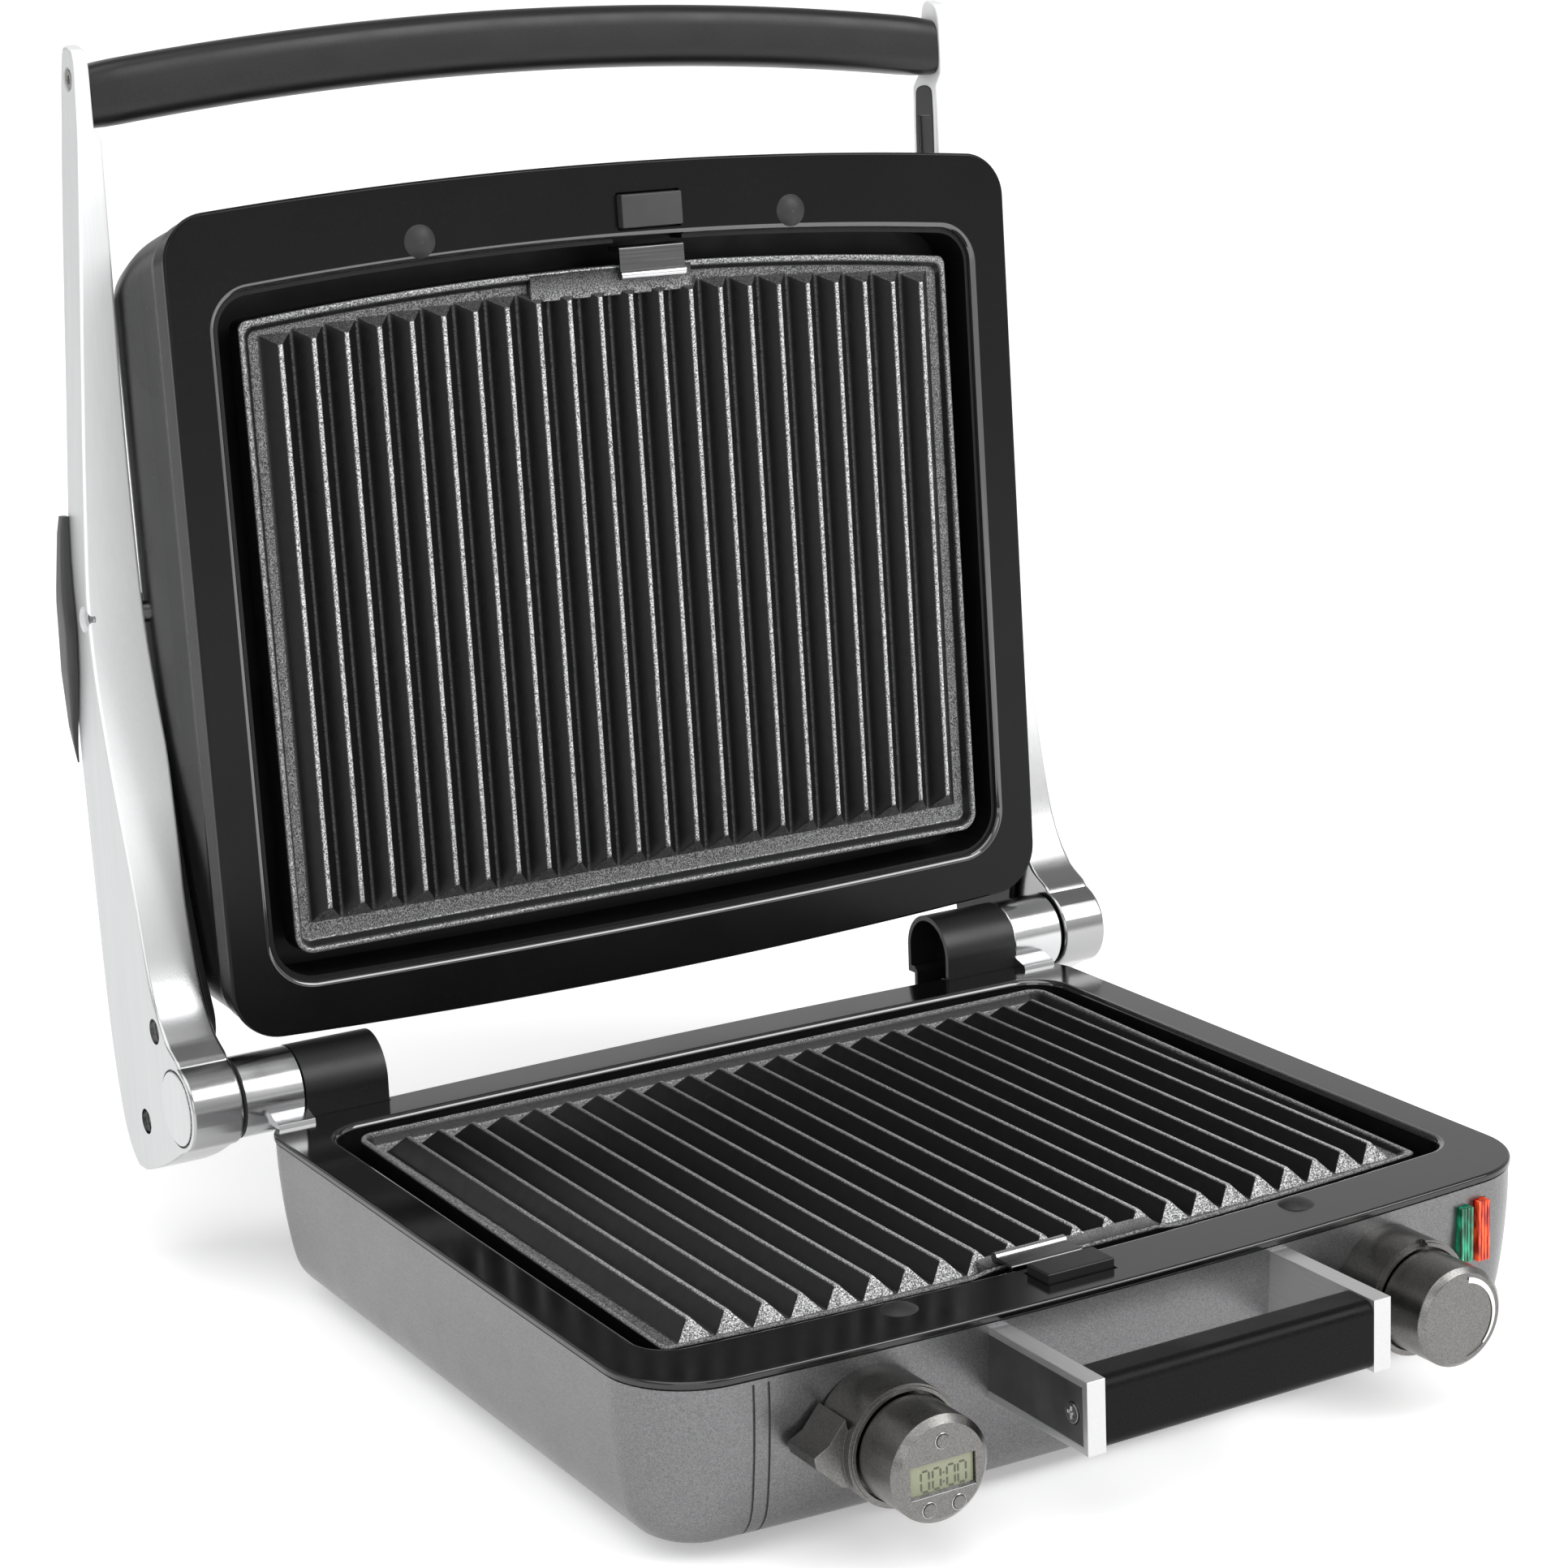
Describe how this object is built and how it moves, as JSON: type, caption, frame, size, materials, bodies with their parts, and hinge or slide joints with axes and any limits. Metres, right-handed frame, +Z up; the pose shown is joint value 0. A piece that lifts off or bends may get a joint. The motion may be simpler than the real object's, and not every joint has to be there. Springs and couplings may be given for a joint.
{
  "type": "panini press",
  "caption": "Open contact grill with ribbed upper and lower plates, cast side arms with a handle bar, front carry handle, timer head, thermostat knob and release buttons.",
  "frame": {"origin": "bottom centre of the bounding box, at worktop level", "axes": "+X to the right seen from the front, +Y to the back, +Z up"},
  "size_m": [0.3958, 0.4437, 0.4428],
  "materials": {
    "painted_silver": "metallic paint, satin",
    "black_gloss": "gloss",
    "black_satin": "satin",
    "housing_dark": "satin, dark",
    "cast_arm": "satin, polished at the hinge",
    "chrome": "polished",
    "steel": "bright",
    "non_stick": "cast aluminium with a speckled non-stick coating",
    "gunmetal": "satin gunmetal",
    "rubber": "matt",
    "screen": "olive liquid crystal screen",
    "green_lens": "clear green",
    "red_lens": "clear red, lit",
    "dark_plastic": "satin dark grey",
    "well_black": "black enamel"
  },
  "bodies": {
    "base": {"base_casing": "painted_silver", "base_bottom": "black_satin", "rubber_feet": "rubber", "base_bezel": "black_gloss", "lower_tray": "well_black", "lower_plate": "non_stick", "lower_element": "steel", "thermostat": "steel", "knob_collar_left": "gunmetal", "knob_collar_right": "gunmetal", "timer_head": "gunmetal", "timer_screen": "screen", "light_green": "green_lens", "light_red": "red_lens", "handle_bracket_left": "cast_arm", "handle_bracket_right": "cast_arm", "handle_side_covers": "dark_plastic", "front_handle_bar": "black_satin", "handle_screws": "steel", "lower_bumpers": "rubber", "hinge_post_left": "black_satin", "hinge_post_right": "black_satin", "hinge_collar_left": "chrome", "hinge_collar_right": "chrome", "hinge_screws": "steel", "cord_gland": "black_satin"},
    "arms": {"arm_left": "cast_arm", "arm_right": "cast_arm", "arm_liner_left": "black_satin", "arm_liner_right": "black_satin", "hinge_pins": "steel", "pivot_caps": "cast_arm", "arm_screws": "steel", "lid_handle_bar": "black_satin", "tilt_pins": "steel"},
    "lid": {"upper_housing": "housing_dark", "upper_bezel": "black_satin", "upper_tray": "well_black", "upper_plate": "non_stick", "upper_element": "steel", "upper_bumpers": "rubber"},
    "lever": {"lock_lever": "dark_plastic"},
    "knob": {"thermostat_knob": "gunmetal"},
    "timer_key_top": {"timer_button_top": "gunmetal"},
    "timer_key_left": {"timer_button_left": "gunmetal"},
    "timer_key_right": {"timer_button_right": "gunmetal"},
    "lower_release": {"lower_button": "black_satin"},
    "lower_latch": {"lower_clip": "chrome"},
    "upper_release": {"upper_button": "black_satin"},
    "upper_latch": {"upper_clip": "chrome"}
  },
  "joints": [
    {"name": "lid_hinge", "type": "hinge", "parent": "base", "child": "arms", "pos_m": [0, 0.1439, 0.07], "axis": [-1, 0, 0], "range_deg": [-92.5, 87.5]},
    {"name": "lid_tilt", "type": "hinge", "parent": "arms", "child": "lid", "pos_m": [0, 0.20327, 0.23757], "axis": [1, 0, 0], "range_deg": [0, 8]},
    {"name": "lever_turn", "type": "hinge", "parent": "arms", "child": "lever", "pos_m": [0, 0.21039, 0.26328], "axis": [1, 0, 0], "range_deg": [0, 18]},
    {"name": "thermostat_turn", "type": "hinge", "parent": "base", "child": "knob", "pos_m": [0.0975, -0.2055, 0.036], "axis": [0, 1, 0], "range_deg": [0, 270]},
    {"name": "timer_top_press", "type": "slide", "parent": "base", "child": "timer_key_top", "axis": [0, 1, 0], "range_m": [0, 0.0006], "stiffness_N_per_m": 300},
    {"name": "timer_left_press", "type": "slide", "parent": "base", "child": "timer_key_left", "axis": [0, 1, 0], "range_m": [0, 0.0006], "stiffness_N_per_m": 300},
    {"name": "timer_right_press", "type": "slide", "parent": "base", "child": "timer_key_right", "axis": [0, 1, 0], "range_m": [0, 0.0006], "stiffness_N_per_m": 300},
    {"name": "lower_button_press", "type": "slide", "parent": "base", "child": "lower_release", "axis": [0, 0, -1], "range_m": [0, 0.002], "stiffness_N_per_m": 1500},
    {"name": "lower_clip_slide", "type": "slide", "parent": "base", "child": "lower_latch", "axis": [0, -1, 0], "range_m": [0, 0.0012]},
    {"name": "upper_button_press", "type": "slide", "parent": "lid", "child": "upper_release", "axis": [0, 0.999, -0.0436], "range_m": [0, 0.002], "stiffness_N_per_m": 1500},
    {"name": "upper_clip_slide", "type": "slide", "parent": "lid", "child": "upper_latch", "axis": [0, 0.0436, 0.999], "range_m": [0, 0.0012]}
  ],
  "couplings": [
    {"joint": "lower_clip_slide", "follows": "lower_button_press", "ratio": 0.6},
    {"joint": "upper_clip_slide", "follows": "upper_button_press", "ratio": 0.6}
  ]
}
